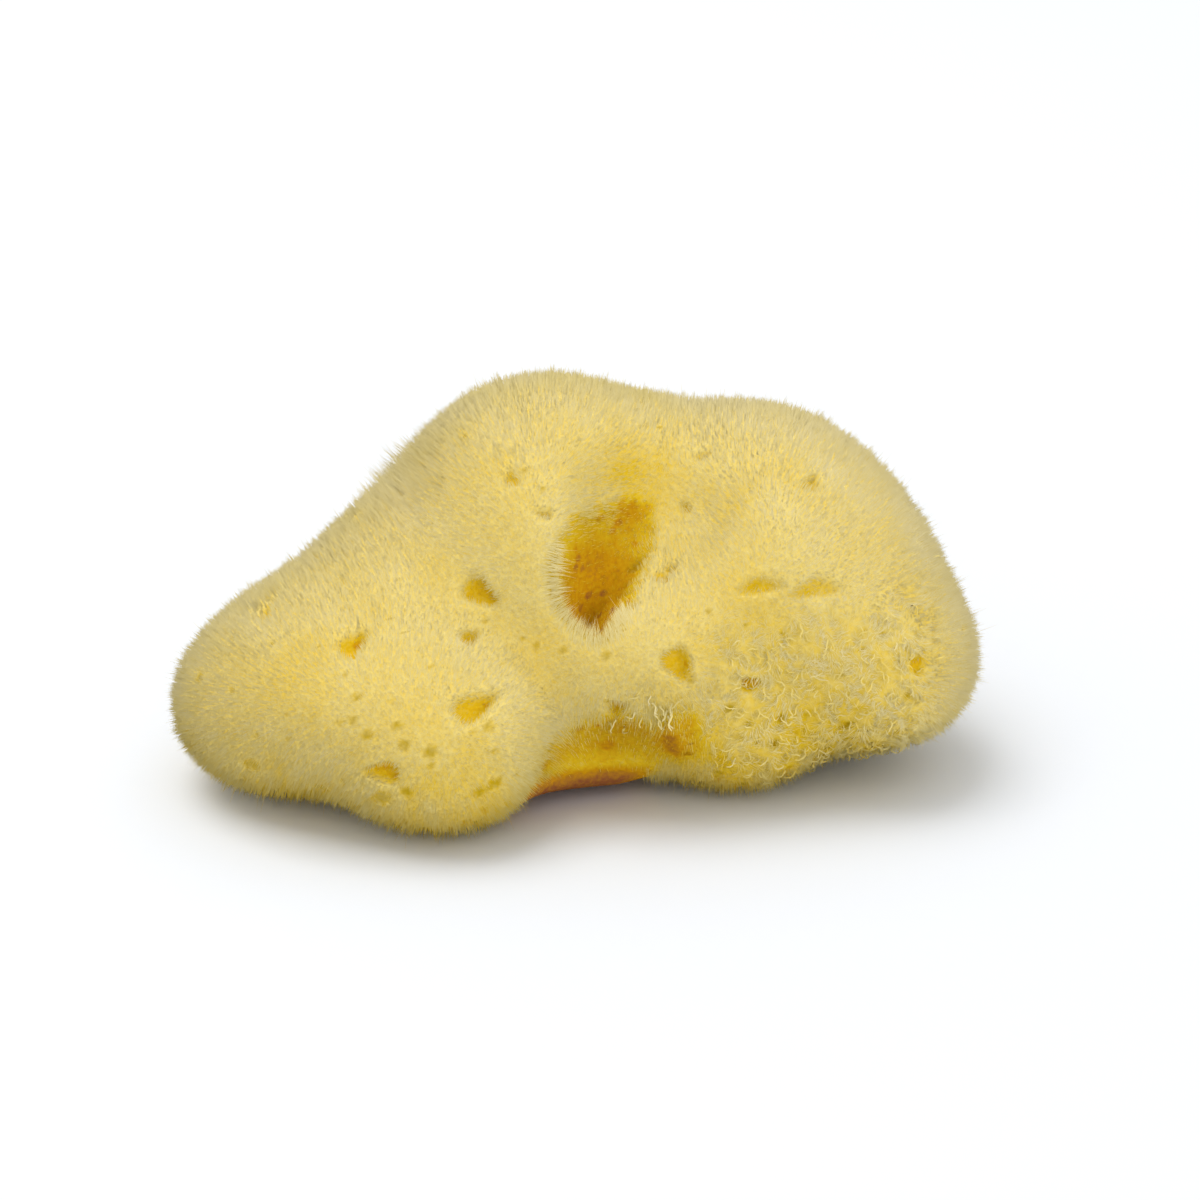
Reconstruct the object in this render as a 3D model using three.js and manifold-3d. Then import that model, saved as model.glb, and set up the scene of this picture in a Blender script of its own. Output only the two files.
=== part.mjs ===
// A dry natural silk sponge, resting on its feet: one grown piece with rounded lobes, a deep crater in its
// crown, a notch between its front feet, and oscules, the round mouths of its canals, all over it.
// Millimetres, +Z up, +X along the length, -Y towards the side with the crater.
import * as THREE from "three";
import { mergeVertices } from "three/addons/utils/BufferGeometryUtils.js";
import Module from "manifold-3d";

const wasm = await Module();
wasm.setup();

// Driving dimensions
const LENGTH = 100; // over the lobes, end to end
const HUNDREDTH = LENGTH / 100; // the tables below are in hundredths of the length
const STRAW = 0xdcc876;

// Skin
const CENTRE = [0, 4, 13]; // every part of the skin can be seen from this point
const OUTLINE = [50, 30, 23]; // half-sizes of the egg that the skin's corners start from
const SPREAD = OUTLINE.map((half) => half ** (2 / 3)); // spaces the corners evenly at its ends, sides and top
const SKIN_DETAIL = 16; // divisions of the icosahedron's edges
const LOBE_BLEND = 2.8; // how softly neighbouring lobes run together
const CONULE_HEIGHT = 1.5; // from the dips between the little points of the skin to their tips
const CONULE_DIP = 0.5; // how far the dips lie inside the lobes
const CONULE_ROOM = 30; // skin nearer to the centre than this has closer corners and lower conules
const FAR = 70; // outside the sponge, seen from the centre
const MARCH_STEPS = 70;
const HALVINGS = 14;

// Lobes: centre and half-sizes along x, y and z
const LOBES = {
  left_tip: [[-37, -6, 10.2], [12, 13.5, 10]],
  left_body: [[-26, -6.5, 14], [18, 19, 12.9]],
  shoulder: [[-19, 3, 18.5], [14, 17, 14.5]],
  crown: [[-4, 8, 26.6], [19, 22, 19.5]],
  ridge: [[9, 12, 25], [14, 17, 15.5]],
  right_dome: [[21.5, 8, 23.6], [19, 22, 18.5]],
  right_side: [[33, 3, 18.5], [12, 17, 15]],
  right_end: [[37, -1.5, 14], [12, 14.5, 10]],
  left_foot: [[-16, -18.3, 10], [12.5, 11, 10.5]],
  right_foot: [[20, -7.5, 9.5], [10.5, 10, 9.5]],
  back_foot: [[2, 17, 9], [17, 12, 10]],
  belly: [[0, 3, 14], [32, 18, 11.5]],
  brow: [[8, -11, 18], [13, 9, 9]],
  sill: [[0, -9.5, 5.5], [11, 6, 3.5]],
};

// Soft hollows: centre, half-sizes, and how softly the skin turns into them
const HOLLOWS = {
  notch: [[5, -25, 4.5], [9, 10.5, 9.5], 1.2],
  dish: [[11, -11, 42], [11, 11, 11], 2],
};

// The crater and the pits: azimuth and elevation in degrees seen from the centre, where azimuth 0 is -Y and 90
// is +X, then half-width, half-height, roll in degrees and depth
const CRATER = [13, 44, 5.6, 7.6, -25, 15];
const PITS = {
  front_left_high: [-34.9, 35.9, 2.2, 1.8, 0, 5],
  front_left_far: [-49.7, 17.1, 1.8, 2, 0, 4],
  front_left_small: [-32.5, 23.7, 1.1, 1.1, 0, 3],
  front_left_slot: [-22.9, 9.4, 2.9, 1.5, 22, 4.5],
  left_foot_pit: [-35.5, -3, 2, 1.3, -10, 4],
  front_middle: [28.5, 17.3, 1.7, 2.4, 10, 5.5],
  above_notch: [12.2, 5.3, 1.2, 1, 0, 3],
  right_dent: [52.8, 29.4, 1.5, 1.1, 0, 2.5],
  right_long_dent: [60.4, 24.5, 2.3, 1.1, 10, 2.5],
  right_high_slot: [77.1, 40, 1.3, 0.9, 15, 3],
  right_foot_pit: [45.3, 8.5, 1, 1, 0, 3],
  right_end_pit: [67.1, 7.1, 1.4, 1.1, 35, 3],
  crater_side: [37.5, 42.4, 1.2, 1, 0, 2.5],
  left_end_dent: [-70.9, 15.4, 2, 1.4, -20, 2],
  crown_back: [-150, 58, 2.1, 1.8, 0, 6],
  ridge_back: [135, 52, 1.9, 1.7, 0, 5],
  back_middle: [178, 26, 2.4, 2, 0, 6],
  back_left: [-142, 22, 1.9, 1.6, 0, 5],
  back_left_low: [-118, 8, 1.5, 1.3, 0, 4],
  back_right: [132, 20, 2, 1.8, 0, 5],
  back_right_low: [108, 8, 1.4, 1.6, 0, 4],
  back_slot: [-168, 4, 2.8, 1.2, -20, 4.5],
  right_side_pit: [92, 24, 1.6, 1.4, 0, 4],
  shoulder_pit: [-88, 34, 1.7, 1.4, 0, 4],
};
const PIT_SIDES = 12;
const CRATER_SIDES = 20;
const PIT_MOUTH = 1.3; // the plug that cuts a pit widens to this at the skin
const PIT_CLEAR = 4; // and stands this far out of the skin

const FLOOR_DEPTH = 20; // of the block that cuts the feet flat

const vector = (values) => new THREE.Vector3(...values);
const CENTRE_POINT = vector(CENTRE);

// Distance from a point to an ellipsoid, below zero inside it, near enough for blending.
function ellipsoidDistance(point, centre, half) {
  const scaled = point.clone().sub(vector(centre)).divide(vector(half));
  const size = scaled.length();
  const slope = scaled.divide(vector(half)).length();
  return (size * (size - 1)) / Math.max(slope, 1e-9);
}

// Distance to the sponge before its pits: the lobes in one soft union, less the soft hollows.
function spongeDistance(point) {
  let sum = 0;
  for (const [centre, half] of Object.values(LOBES)) {
    sum += Math.exp(-ellipsoidDistance(point, centre, half) / LOBE_BLEND);
  }
  let distance = -LOBE_BLEND * Math.log(sum);
  for (const [centre, half, soft] of Object.values(HOLLOWS)) {
    const outside = -ellipsoidDistance(point, centre, half);
    const most = Math.max(distance, outside);
    distance = most + soft * Math.log(Math.exp((distance - most) / soft) + Math.exp((outside - most) / soft));
  }
  return distance;
}

// How far the sponge reaches from its centre along a direction: the first step outside, then halved.
function reach(direction) {
  const inside = (r) => spongeDistance(direction.clone().multiplyScalar(r).add(CENTRE_POINT)) < 0;
  const step = FAR / MARCH_STEPS;
  let high = step;
  while (high < FAR && inside(high)) high += step;
  let low = high - step;
  for (let i = 0; i < HALVINGS; i++) {
    const middle = (low + high) / 2;
    if (inside(middle)) low = middle;
    else high = middle;
  }
  return low;
}

// Which way the skin faces at a point, from the distance's differences over a short step each way.
function facing(point) {
  const step = 0.05;
  const slope = ["x", "y", "z"].map((axis) => {
    const ahead = point.clone();
    const behind = point.clone();
    ahead[axis] += step;
    behind[axis] -= step;
    return spongeDistance(ahead) - spongeDistance(behind);
  });
  return vector(slope).normalize();
}

// A repeatable scatter of numbers from 0 to 1.
const scatter = (index) => {
  const value = Math.sin(index * 12.9898 + 4.1414) * 43758.5453;
  return value - Math.floor(value);
};

function closedSolid(geometry) {
  geometry.deleteAttribute("normal");
  geometry.deleteAttribute("uv");
  const merged = mergeVertices(geometry, 1e-4);
  const corners = merged.index.array;
  const triVerts = [];
  for (let i = 0; i < corners.length; i += 3) {
    const [a, b, c] = [corners[i], corners[i + 1], corners[i + 2]];
    if (a !== b && b !== c && c !== a) triVerts.push(a, b, c);
  }
  return new wasm.Manifold(
    new wasm.Mesh({
      numProp: 3,
      vertProperties: new Float32Array(merged.attributes.position.array),
      triVerts: new Uint32Array(triVerts),
    }),
  );
}

function geometryOf(solid) {
  const mesh = solid.getMesh();
  const geometry = new THREE.BufferGeometry();
  geometry.setAttribute("position", new THREE.BufferAttribute(new Float32Array(mesh.vertProperties), 3));
  geometry.setIndex(new THREE.BufferAttribute(new Uint32Array(mesh.triVerts), 1));
  geometry.computeVertexNormals();
  return geometry;
}

// The lobed skin, with a conule, a little point, or a dip at each corner.
function skin() {
  const source = new THREE.IcosahedronGeometry(1, SKIN_DETAIL - 1);
  source.deleteAttribute("normal");
  source.deleteAttribute("uv");
  const geometry = mergeVertices(source, 1e-5);
  const position = geometry.attributes.position;
  for (let i = 0; i < position.count; i++) {
    const direction = new THREE.Vector3().fromBufferAttribute(position, i).multiply(vector(SPREAD)).normalize();
    const radius = reach(direction);
    const conule = CONULE_HEIGHT * scatter(i) ** 2 - CONULE_DIP;
    const height = conule * Math.min(1, radius / CONULE_ROOM);
    const corner = direction.multiplyScalar(radius + height).add(CENTRE_POINT);
    position.setXYZ(i, corner.x, corner.y, corner.z);
  }
  return closedSolid(geometry);
}

// The direction at an azimuth and an elevation.
function bearing(azimuth, elevation) {
  const az = THREE.MathUtils.degToRad(azimuth);
  const el = THREE.MathUtils.degToRad(elevation);
  return new THREE.Vector3(Math.sin(az) * Math.cos(el), -Math.cos(az) * Math.cos(el), Math.sin(el));
}

// The plug that cuts one pit: round-bottomed, widening to its mouth, squeezed to the pit's width and height. It
// stands square to the skin, or for the crater points from the sponge's centre.
function pitPlug([azimuth, elevation, halfWidth, halfHeight, roll, depth], sides, square) {
  const ray = bearing(azimuth, elevation);
  const mouth = ray.clone().multiplyScalar(reach(ray)).add(CENTRE_POINT);
  const out = square ? facing(mouth) : ray;
  const across = new THREE.Vector3(0, 0, 1).cross(out).normalize();
  const down = new THREE.Vector3().crossVectors(across, out);
  const profile = [
    new THREE.Vector2(0, -depth),
    new THREE.Vector2(0.5, -0.93 * depth),
    new THREE.Vector2(0.8, -0.7 * depth),
    new THREE.Vector2(0.95, -0.3 * depth),
    new THREE.Vector2(PIT_MOUTH, PIT_CLEAR / 4),
    new THREE.Vector2(PIT_MOUTH, PIT_CLEAR),
    new THREE.Vector2(0, PIT_CLEAR),
  ];
  const plug = new THREE.LatheGeometry(profile, sides);
  plug.scale(halfWidth, 1, halfHeight);
  plug.rotateY(THREE.MathUtils.degToRad(roll));
  const place = new THREE.Matrix4().makeBasis(across, out, down).setPosition(mouth);
  return closedSolid(plug.applyMatrix4(place));
}

// The floor's block, which takes off what would press below the feet.
function floorBlock() {
  const block = new THREE.BoxGeometry(2 * FAR, 2 * FAR, FLOOR_DEPTH);
  return closedSolid(block.translate(0, 0, -FLOOR_DEPTH / 2));
}

function sponge() {
  let solid = skin().subtract(floorBlock()).subtract(pitPlug(CRATER, CRATER_SIDES, false));
  for (const pit of Object.values(PITS)) solid = solid.subtract(pitPlug(pit, PIT_SIDES, true));
  const geometry = geometryOf(solid).scale(HUNDREDTH, HUNDREDTH, HUNDREDTH);
  const material = new THREE.MeshStandardMaterial({ color: STRAW, roughness: 0.95, metalness: 0 });
  const mesh = new THREE.Mesh(geometry, material);
  mesh.name = "sponge";
  return mesh;
}

// The origin is on the floor, under the middle of the sponge's box.
const part = new THREE.Group();
const body = sponge();
const box = new THREE.Box3().setFromObject(body);
const middle = box.getCenter(new THREE.Vector3());
body.position.set(-middle.x, -middle.y, -box.min.z);
part.add(body);

export default part;
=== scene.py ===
"""A dry natural silk sponge: its skin with the crater and the canal mouths, the fine fibres that stand
all over it in tufts, the curly threads matted over its right end, and a plain white stage.

Lengths in the tables and the functions are millimetres; a mesh is turned into metres as it is made."""
import functools
import itertools
import math
from types import SimpleNamespace

import bpy
import numpy as np
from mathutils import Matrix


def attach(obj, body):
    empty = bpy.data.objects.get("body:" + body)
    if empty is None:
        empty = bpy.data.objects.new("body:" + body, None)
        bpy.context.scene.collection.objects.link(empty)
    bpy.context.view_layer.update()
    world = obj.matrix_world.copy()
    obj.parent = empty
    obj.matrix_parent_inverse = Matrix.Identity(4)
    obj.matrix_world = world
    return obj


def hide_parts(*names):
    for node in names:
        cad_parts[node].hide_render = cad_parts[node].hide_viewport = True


bl_info = {
    "name": "Silk sponge",
    "version": (1, 0, 0),
    "blender": (4, 5, 0),
    "location": "3D View > Sidebar > Sponge",
    "description": "Builds a dry natural silk sponge from its skin, tufts and threads",
    "category": "Add Mesh",
}

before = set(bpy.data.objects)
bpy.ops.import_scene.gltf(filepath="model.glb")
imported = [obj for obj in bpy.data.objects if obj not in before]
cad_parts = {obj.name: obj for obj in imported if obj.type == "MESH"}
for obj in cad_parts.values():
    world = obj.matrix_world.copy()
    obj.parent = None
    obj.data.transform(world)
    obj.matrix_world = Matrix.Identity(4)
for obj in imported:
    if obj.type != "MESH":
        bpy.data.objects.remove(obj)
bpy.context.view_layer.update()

MM = 0.001
BODY = "root"
NODE = "sponge"
BAKE_MAP = "OFBake"

# The tables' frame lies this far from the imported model's
SHIFT = np.array([-0.02, -0.415, 0.0])

# Skin
CENTRE = np.array([0.0, 4.0, 13.0])
OUTLINE = np.array([50.0, 30.0, 23.0])
LOBE_BLEND = 2.8
FAR = 70.0
MARCH_STEP = 2.0
HALVINGS = 13
FACE_NAMES = ("left", "right", "front", "back", "under", "top")

# Lobes: centre and half-sizes along x, y and z
LOBES = np.array([
    [[-37, -6, 10.2], [12, 13.5, 10]],
    [[-26, -6.5, 14], [18, 19, 12.9]],
    [[-19, 3, 18.5], [14, 17, 14.5]],
    [[-4, 8, 26.6], [19, 22, 19.5]],
    [[9, 12, 25], [14, 17, 15.5]],
    [[21.5, 8, 23.6], [19, 22, 18.5]],
    [[33, 3, 18.5], [12, 17, 15]],
    [[37, -1.5, 14], [12, 14.5, 10]],
    [[-16, -18.3, 10], [12.5, 11, 10.5]],
    [[20, -7.5, 9.5], [10.5, 10, 9.5]],
    [[2, 17, 9], [17, 12, 10]],
    [[0, 3, 14], [32, 18, 11.5]],
    [[8, -11, 18], [13, 9, 9]],
    [[0, -9.5, 5.5], [11, 6, 3.5]],
])

# Soft hollows: centre, half-sizes, and how softly the skin turns into them
HOLLOWS = (
    (np.array([5, -25, 4.5]), np.array([9, 10.5, 9.5]), 1.2),
    (np.array([11, -11, 42]), np.array([11, 11, 11]), 2.0),
)

# Crater: azimuth and elevation of its axis seen from the centre, where azimuth 0 is -Y and 90 is +X.
# Seen along the axis, rightwards and upwards from it: the deepest place and the points of the rim.
CRATER = np.radians([13.0, 44.0])
CRATER_DEEPEST = np.array([-1.6, -3.0])
CRATER_RIM = np.array([
    [-6.2, 4.5], [-7.2, 2.5], [-7.2, -1.2], [-5.8, -4.2], [-3.7, -6.8], [-1.8, -8.6],
    [-0.2, -7.2], [1.6, -4.9], [3.1, -3.0], [4.4, 0.2], [6.3, 4.2], [12.2, 11.6],
    [7.0, 12.0], [2.2, 11.2], [-2.5, 9.4], [-5.2, 6.8],
])
CRATER_DEPTH = 11.0
CRATER_BOWL = 1.3  # 1 is a straight funnel, more a rounder bowl
CRATER_EDGE = 0.8  # how softly the skin turns into it
RIM_STEPS = 360
RIM_BLUR = 0.17

# Pits: azimuth and elevation in degrees, then half-width, half-height, roll in degrees and depth
PITS = np.array([
    [-34.9, 35.9, 1.9, 1.5, 0, 2.2],
    [-49.7, 17.1, 1.5, 1.6, 0, 2],
    [-32.5, 23.7, 1, 1, 0, 1.6],
    [-22.9, 9.4, 2.6, 1.3, 22, 2.4],
    [-35.5, -3, 1.8, 1.2, -10, 1.9],
    [28.5, 17.3, 1.4, 2, 10, 2.4],
    [12.2, 5.3, 1.2, 0.9, 0, 2],
    [52.8, 29.4, 1.9, 1.1, 0, 1.0],
    [60.4, 24.5, 2.8, 1.1, 10, 1.0],
    [77.1, 40, 1.3, 0.8, 15, 1.6],
    [45.3, 8.5, 1, 0.9, 0, 1.6],
    [67.1, 7.1, 1.5, 0.8, 55, 1.1],
    [37.5, 42.4, 1.2, 0.9, 0, 1.4],
    [-70.9, 15.4, 2, 1.3, -20, 1],
    [-150, 58, 1.8, 1.5, 0, 3],
    [135, 52, 1.6, 1.4, 0, 2.6],
    [178, 26, 2.1, 1.7, 0, 3.2],
    [-142, 22, 1.6, 1.4, 0, 2.6],
    [-118, 8, 1.3, 1.1, 0, 2.2],
    [132, 20, 1.7, 1.5, 0, 2.6],
    [108, 8, 1.2, 1.3, 0, 2.2],
    [-168, 4, 2.4, 1, -20, 2.4],
    [92, 24, 1.4, 1.2, 0, 2.2],
    [-88, 34, 1.5, 1.2, 0, 2.2],
    [42.6, 43.9, 0.8, 0.6, 20, 1.2],
    [39.5, 52.3, 0.9, 0.8, 30, 1.4],
    [30.7, 46.4, 0.8, 0.7, 0, 1.4],
    [25.4, 42.9, 0.8, 0.7, 30, 1.4],
    [20.8, 36.0, 0.8, 0.7, 0, 1.3],
    [66.6, 55.7, 0.8, 0.6, 0, 1.0],
    [83.4, 59.5, 0.9, 0.6, 0, 1.0],
    [-14.7, 59.3, 0.8, 0.6, 0, 1.0],
    [-36.5, 64.4, 1.2, 0.7, -30, 1.0],
])
PIT_SOFTNESS = 0.3
PIT_WAVES = 0.14  # how uneven a pit's edge is
GOLD_DEPTH = 1.8  # a pit this deep is gold all through
PIT_DEEP = 0.6  # how deep a pit counts beside the crater's floor
# Painted shade: the notch's wall counts as this deep, which darkens it like a pit
RECESS_DEEP = 0.45  # and the wall of the notch

# The smooth rusty rim at the foot of the notch: lowest and highest corners of its box, and how far
# its edge fades
RIM_LOW = np.array([-12.0, -22.0, -3.0])
RIM_HIGH = np.array([12.0, -4.0, 5.4])
RIM_FADE = np.array([8.0, 1.5, 2.6])
RIM_RISE = 0.8  # how far its bare skin stands up through the bed
NOTCH_RISE = 0.6  # and the wall of the notch, as a share of that

# Bunches of strands that hang from the brow over the notch: middle and spread
BUNCHES = (
    (np.array([8.8, -20.3, 15.6]), 1.5),
    (np.array([11.2, -20.2, 16.2]), 1.0),
    (np.array([4.7, -18.4, 12.6]), 0.8),
)

# The shoulder's shaggy edge, where the fibres are longest: middle and spread
SHAG = np.array([-20.5, 3.0, 35.5])
SHAG_SPREAD = 4.5

# The cleft at the right of the notch, bare like its wall and darkened like it with painted shade: middle
# and spread
CLEFT = np.array([12.2, -18.2, 9.8])
CLEFT_SPREAD = np.array([1.8, 3.0, 4.2])

# Small pores on the front: middle, before it is sunk to the skin, and radius
PORES = np.array([
    [-26.1, -26.1, 17.4, 0.55], [-24.5, -27.1, 15.8, 0.6], [-19.9, -28.3, 15.2, 0.6],
    [-20.8, -27.1, 17.3, 0.55], [-16.8, -28.8, 14.5, 0.75], [-9.7, -25.5, 16.6, 0.65],
    [-10.6, -15.4, 25.4, 0.5], [-4.8, -17.0, 22.8, 0.55], [-25.6, -24.6, 19.9, 0.5],
    [-19.8, -29.2, 8.9, 0.7], [-10.7, -28.3, 8.5, 0.75], [-1.8, -17.8, 22.5, 0.5],
    [3.5, -19.1, 22.4, 0.5],
])

# Golden patches in the fibres: middle, spread and how far the shade drops. They are partly the sponge's
# own golden mottle and partly painted shade, low on the front feet and in the cleft beside the notch.
PATCHES = (
    (np.array([6.2, -2.4, 36.8]), 4.2, 0.16),
    (np.array([-15.0, -3.2, 39.4]), 5.0, 0.05),
    (np.array([17.2, -4.6, 34.8]), 4.5, 0.05),
    (np.array([-32.2, -20.7, 21.9]), 4.0, 0.06),
    (np.array([-14.6, -29.2, 7.0]), 5.5, 0.12),
    (np.array([-33.0, -19.5, 4.5]), 4.5, 0.12),
    (np.array([12.8, -18.6, 8.0]), 2.8, 0.18),
    (np.array([13.2, -19.4, 13.5]), 1.8, 0.16),
    (np.array([19.0, -17.5, 6.0]), 5.0, 0.1),
    (np.array([29.1, -16.2, 10.0]), 3.0, 0.1),
    (np.array([33.7, -11.9, 5.2]), 3.0, 0.08),
)
FULL_DROP = 0.2  # a patch that drops this far is golden all through

# Waves: about how long they are, and their random seed
RAGGED_WAVES = (2.4, 41)
STREAK_WAVES = (1.8, 33)
SWIRL_WAVES = (8.0, 12)
LONG_MOTTLE = (15.0, 5)
SHORT_MOTTLE = (6.0, 8)
MAT_WAVES = (4.5, 21)

# Random seeds: of the cells' places and of what each cell draws, and of the fibres
PORE_SALTS = (9.1, 2.3)
TUFT_SALTS = (3.7, 5.3)
SWIRL_SALTS = (6.2, 1.9)
TUFT_SEED = 100
THREAD_SEED = 77

# Shades along the colours, from 0, rust, to 1, cream, and how far each thing lowers or lifts them. Much of
# the lowering is painted shade: fibres darker low down near the floor, round the small pores and in the
# mats' gaps, and skin darker in the small pores, the mats and the notch; the gold of the pits and the
# amber deep in the crater are partly their own colour and partly painted shade. The mottle, the paler
# right end, the paler hanging threads and the rust are the sponge's own tone.
FIBRE = SimpleNamespace(
    shade=0.79, low=0.15, right=0.04, mottle=0.07, patch=0.6, pit=0.3, pore=0.2, mat=0.16
)
SKIN = SimpleNamespace(
    shade=0.62, mottle=0.06, mat=0.08, pore=0.12, pit=0.2, crater=0.18, notch=0.1, foot=0.12, rust=0.02
)
THREAD = SimpleNamespace(shade=0.69, hanging=0.13, uneven=0.05)

# Painted light and shade on the skin, a factor on its colour: how far each thing lifts or dims it
PAINTED_LIGHT = SimpleNamespace(
    pit=0.08, wall=0.08, wall_left=0.06, notch=0.14, notch_top=0.08, notch_foot=0.1, crater_top=0.14,
    patch=0.35, mat=0.22, dim=0.36,
)

# Share of the fibres that each thing leaves out
THIN = SimpleNamespace(bare=0.93, gaps=0.65, patch=0.85, under=0.75)

# Tufts: how much longer or shorter they are, and the share of each length
TALL = (0.8, 0.9, 1.05, 1.2, 1.5)
TALL_SHARES = (0.25, 0.35, 0.28, 0.1, 0.02)
PORE_EDGE = 0.9  # no fibre stands nearer to a pore's middle, over its radius
RIM_LEAN = 0.8  # how far the fibres of the crater's rim lean into it
STRAY = 0.11  # how far a tip strays, over the length
LYING = 0.85  # how far the fibres of the mats lie down
ROOT_SUNK = 0.2

# Threads
THREAD_POINTS = 7
MAT_THREADS = 0.4  # how thick they are in the mats, beside the bunches
LEAST_AREA = 2.0  # a side with less room for threads than this has none

# Stage: the lamps' places and sizes in metres, the floor's colour, the place that the camera looks at,
# and the width of its sensor
KEY_LAMP = ((-0.31, 0.15, 1.0), 0.65)
FRONT_LAMP = ((0.7, -1.15, 0.8), 1.2)
BACK_LAMP = ((0.4, 1.2, 0.7), 1.2)
PAPER = (0.915, 0.94, 0.98, 1)
TARGET = np.array([2.9, 0.0, 21.0])
SENSOR = 36.0

FLOOR_GAP = 0.05  # lowest point of a fibre above the floor
SKIN_FLOOR = 0.7  # lowest point of the skin
SIDES = 3  # of a fibre's cross-section
SHADES = 32  # steps of the fibres' shade
SKIN_SHADING = 7.0  # how far a fibre's normals lean up from the skin
SKIN_SMOOTHING = 0.8  # and the skin's own normals in the pits lean to the skin around them
FIBRE_SMOOTHING = 1.5  # and the fibres in the pits


def between(low, high, value):
    """0 below low, 1 above high, and a smooth S between: 3 t^2 - 2 t^3. High may be the smaller one."""
    share = np.clip((value - low) / (high - low), 0, 1)
    return share * share * (3 - 2 * share)


def unit(vectors):
    """The vectors, each divided by its length."""
    return vectors / np.maximum(np.linalg.norm(vectors, axis=-1, keepdims=True), 1e-12)


def bell(points, middle, spread):
    """A bell round a middle: e to minus half the square of the distance over the spread."""
    return np.exp(-0.5 * np.linalg.norm((points - middle) / spread, axis=1) ** 2)


def ellipsoid_distance(points, centre, half):
    """Distance to an ellipsoid, below zero inside it: with s the point over the half-sizes and k its
    length, k (k - 1) over the length of s divided by the half-sizes again."""
    scaled = (points - centre) / half
    size = np.sqrt(np.einsum("ij,ij->i", scaled, scaled))
    scaled /= half
    slope = np.sqrt(np.einsum("ij,ij->i", scaled, scaled))
    return size * (size - 1) / np.maximum(slope, 1e-9)


def sponge_distance(points):
    """Distance to the sponge before its pits: minus the blend times the log of the sum of
    exp(-distance / blend) over the lobes, then the soft larger of that and the distance into each
    hollow."""
    total = sum(np.exp(-ellipsoid_distance(points, *lobe) / LOBE_BLEND) for lobe in LOBES)
    distance = -LOBE_BLEND * np.log(total)
    for centre, half, soft in HOLLOWS:
        outside = -ellipsoid_distance(points, centre, half)
        distance = soft * np.logaddexp(distance / soft, outside / soft)
    return distance


def settle(direction, low, high, level):
    """Halves the stretch from low to high on each ray until it meets the given level of the distance."""
    for _ in range(HALVINGS):
        middle = (low + high) / 2
        inside = sponge_distance(CENTRE + middle[:, None] * direction) < level
        low, high = np.where(inside, middle, low), np.where(inside, high, middle)
    return low


def reach(direction):
    """How far the sponge reaches from its centre along each direction: steps outwards to the first step
    outside, then halvings."""
    low = np.zeros(len(direction))
    inside = np.ones(len(direction), bool)
    for radius in np.arange(MARCH_STEP, FAR, MARCH_STEP):
        inside &= sponge_distance(CENTRE + radius * direction) < 0
        low[inside] = radius
    return settle(direction, low, low + MARCH_STEP, 0.0)


def cube_sphere(divisions):
    """Directions and quads of a cube's surface blown up to the sponge's egg. A corner at lattice place i
    of n goes to tan(pi / 4 (2 i / n - 1)), which spaces the angles evenly, is stretched by the egg's
    half-sizes to the power 2/3 and made one long. Corners that two faces share are one."""
    across, along = np.meshgrid(*[np.arange(divisions + 1)] * 2, indexing="ij")
    lattice = np.empty((6, divisions + 1, divisions + 1, 3), int)
    for axis, end in itertools.product(range(3), range(2)):
        face = lattice[2 * axis + end]
        first, second = ((axis + 1) % 3, (axis + 2) % 3)[:: 1 if end else -1]
        face[..., axis] = end * divisions
        face[..., first], face[..., second] = across, along
    side = divisions + 1
    kept, corner = np.unique(lattice @ np.array([side * side, side, 1]), return_inverse=True)
    corner = corner.reshape(6, side, side)
    quads = np.stack(
        [corner[:, :-1, :-1], corner[:, 1:, :-1], corner[:, 1:, 1:], corner[:, :-1, 1:]], -1
    )
    place = np.stack([kept // (side * side), kept // side % side, kept % side], -1)
    direction = np.tan(np.pi / 4 * (2 * place / divisions - 1)) * OUTLINE ** (2 / 3)
    return unit(direction), quads


def bearing(azimuth, elevation):
    """The direction at an azimuth and an elevation."""
    level = np.cos(elevation)
    return np.stack([np.sin(azimuth) * level, -np.cos(azimuth) * level, np.sin(elevation)], -1)


def slope_of(points):
    """The skin's outward normals before its pits: the distance's differences over short steps."""
    step = 0.05 * np.eye(3)
    ahead = [sponge_distance(points + way) - sponge_distance(points - way) for way in step]
    return unit(np.stack(ahead, -1))


def tangents(out):
    """The level direction to the right of each outward direction, and the one square to both, upwards."""
    level = unit(np.cross([0.0, 0.0, 1.0], out))
    return level, np.cross(out, level)


def rim_reach(angle):
    """How far the crater's rim lies from its deepest place at each angle: its points joined by straight
    steps round the place, then smoothed by damping the shorter waves."""
    offset = CRATER_RIM - CRATER_DEEPEST
    turn, size = np.arctan2(offset[:, 1], offset[:, 0]), np.hypot(*offset.T)
    grid = 2 * np.pi / RIM_STEPS * np.arange(RIM_STEPS)
    waves = np.fft.rfft(np.interp(grid, turn, size, period=2 * np.pi))
    waves *= np.exp(-0.5 * (RIM_BLUR * np.arange(len(waves))) ** 2)
    return np.interp(angle, grid, np.fft.irfft(waves, RIM_STEPS), period=2 * np.pi)


def crater_mouth():
    """The direction of the crater's axis, and where it leaves the sponge before the crater is sunk."""
    out = bearing(*CRATER)
    return out, CENTRE + reach(out[None]) * out


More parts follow.
